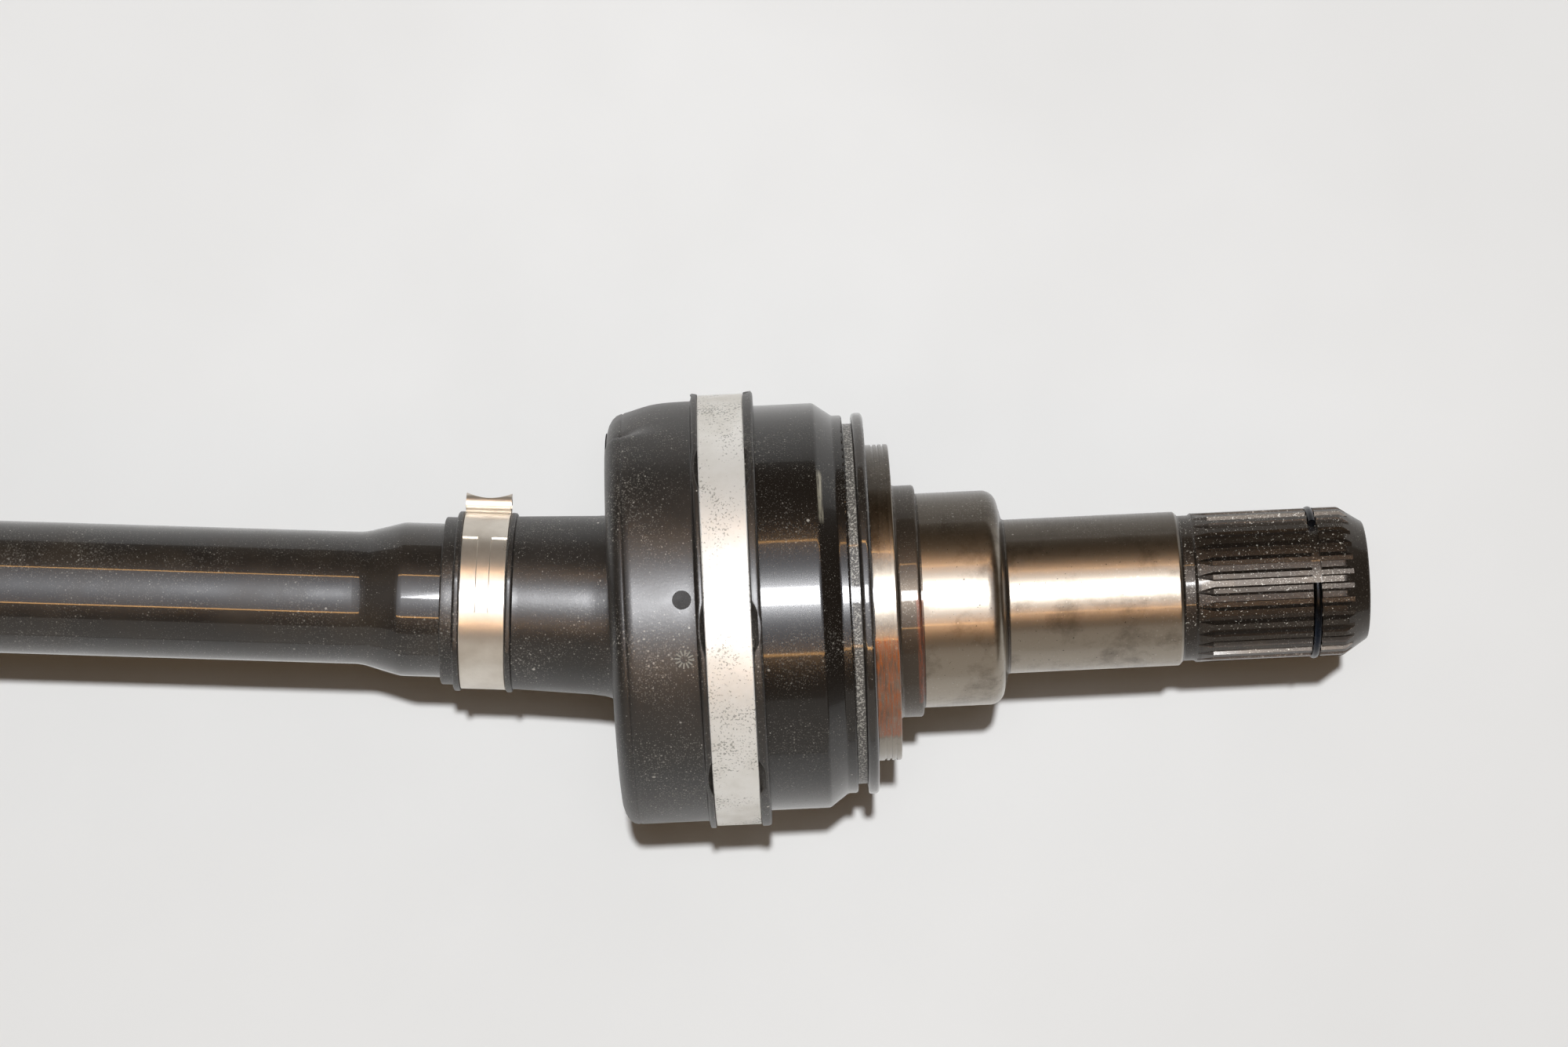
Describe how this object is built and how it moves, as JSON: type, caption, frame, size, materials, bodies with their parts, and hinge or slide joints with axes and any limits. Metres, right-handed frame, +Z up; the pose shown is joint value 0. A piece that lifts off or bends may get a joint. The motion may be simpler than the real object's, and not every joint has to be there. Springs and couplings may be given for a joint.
{
  "type": "drive shaft",
  "caption": "Drive shaft for a car's wheel: a plunging joint with a splined stub, a tube, and a fixed joint, both in rubber boots.",
  "frame": {"origin": "middle of the part's bounding box, on the tube's axis to within a millimetre", "axes": "+X along the tube towards the inboard joint, +Z up as the part lies, +Y the side that the inboard stub is bent to"},
  "size_m": [0.6896, 0.1004, 0.0996],
  "materials": {
    "black_steel": "black lacquered steel with a soft gloss",
    "rubber": "satin moulded rubber",
    "zinc_band": "matt silver, speckled",
    "stainless_band": "bright rolled steel",
    "machined_steel": "ground and oiled",
    "blued_wire": "blued spring steel",
    "ball_steel": "polished"
  },
  "bodies": {
    "inboard_housing": {"inboard_outer_race": "black_steel", "inboard_large_clamp": "zinc_band", "cage_stop_ring": "blued_wire", "slinger_ring": "black_steel", "stub_circlip": "blued_wire"},
    "inboard_boot": {"inboard_boot": "rubber"},
    "drive_shaft": {"drive_bar": "black_steel", "inboard_inner_race": "machined_steel", "inboard_race_circlip": "blued_wire", "inboard_small_clamp": "stainless_band", "outboard_inner_race": "machined_steel", "outboard_race_circlip": "blued_wire", "outboard_small_clamp": "stainless_band", "outboard_boot": "rubber"},
    "inboard_cage": {"inboard_cage": "machined_steel", "inboard_ball_1": "ball_steel", "inboard_ball_2": "ball_steel", "inboard_ball_3": "ball_steel", "inboard_ball_4": "ball_steel", "inboard_ball_5": "ball_steel", "inboard_ball_6": "ball_steel", "inboard_ball_7": "ball_steel", "inboard_ball_8": "ball_steel"},
    "outboard_cage": {"outboard_cage": "machined_steel", "outboard_ball_1": "ball_steel", "outboard_ball_2": "ball_steel", "outboard_ball_3": "ball_steel", "outboard_ball_4": "ball_steel", "outboard_ball_5": "ball_steel", "outboard_ball_6": "ball_steel"},
    "outboard_bell": {"outboard_bell": "black_steel", "outboard_large_clamp": "zinc_band"}
  },
  "joints": [
    {"name": "inboard_plunge", "type": "slide", "parent": "inboard_housing", "child": "inboard_boot", "axis": [0.997, 0.0776, 0], "range_m": [-0.005, 0.0125], "deforming": ["inboard_boot"]},
    {"name": "inboard_articulation", "type": "hinge", "parent": "inboard_boot", "child": "drive_shaft", "pos_m": [0.19926, 0, 0], "axis": [0, 0, 1], "range_deg": [-15.55, 24.45], "deforming": ["inboard_boot"]},
    {"name": "inboard_cage_follow", "type": "hinge", "parent": "drive_shaft", "child": "inboard_cage", "pos_m": [0.19926, 0, 0], "axis": [0, 0, 1], "range_deg": [-12.22, 7.78]},
    {"name": "outboard_articulation", "type": "hinge", "parent": "drive_shaft", "child": "outboard_bell", "pos_m": [-0.23074, 0, 0], "axis": [0, 0, 1], "range_deg": [-42, 42], "deforming": ["outboard_boot"]},
    {"name": "outboard_cage_follow", "type": "hinge", "parent": "drive_shaft", "child": "outboard_cage", "pos_m": [-0.23074, 0, 0], "axis": [0, 0, 1], "range_deg": [-21, 21]}
  ],
  "couplings": [
    {"joint": "inboard_cage_follow", "follows": "inboard_articulation", "ratio": -0.5},
    {"joint": "outboard_cage_follow", "follows": "outboard_articulation", "ratio": 0.5}
  ]
}
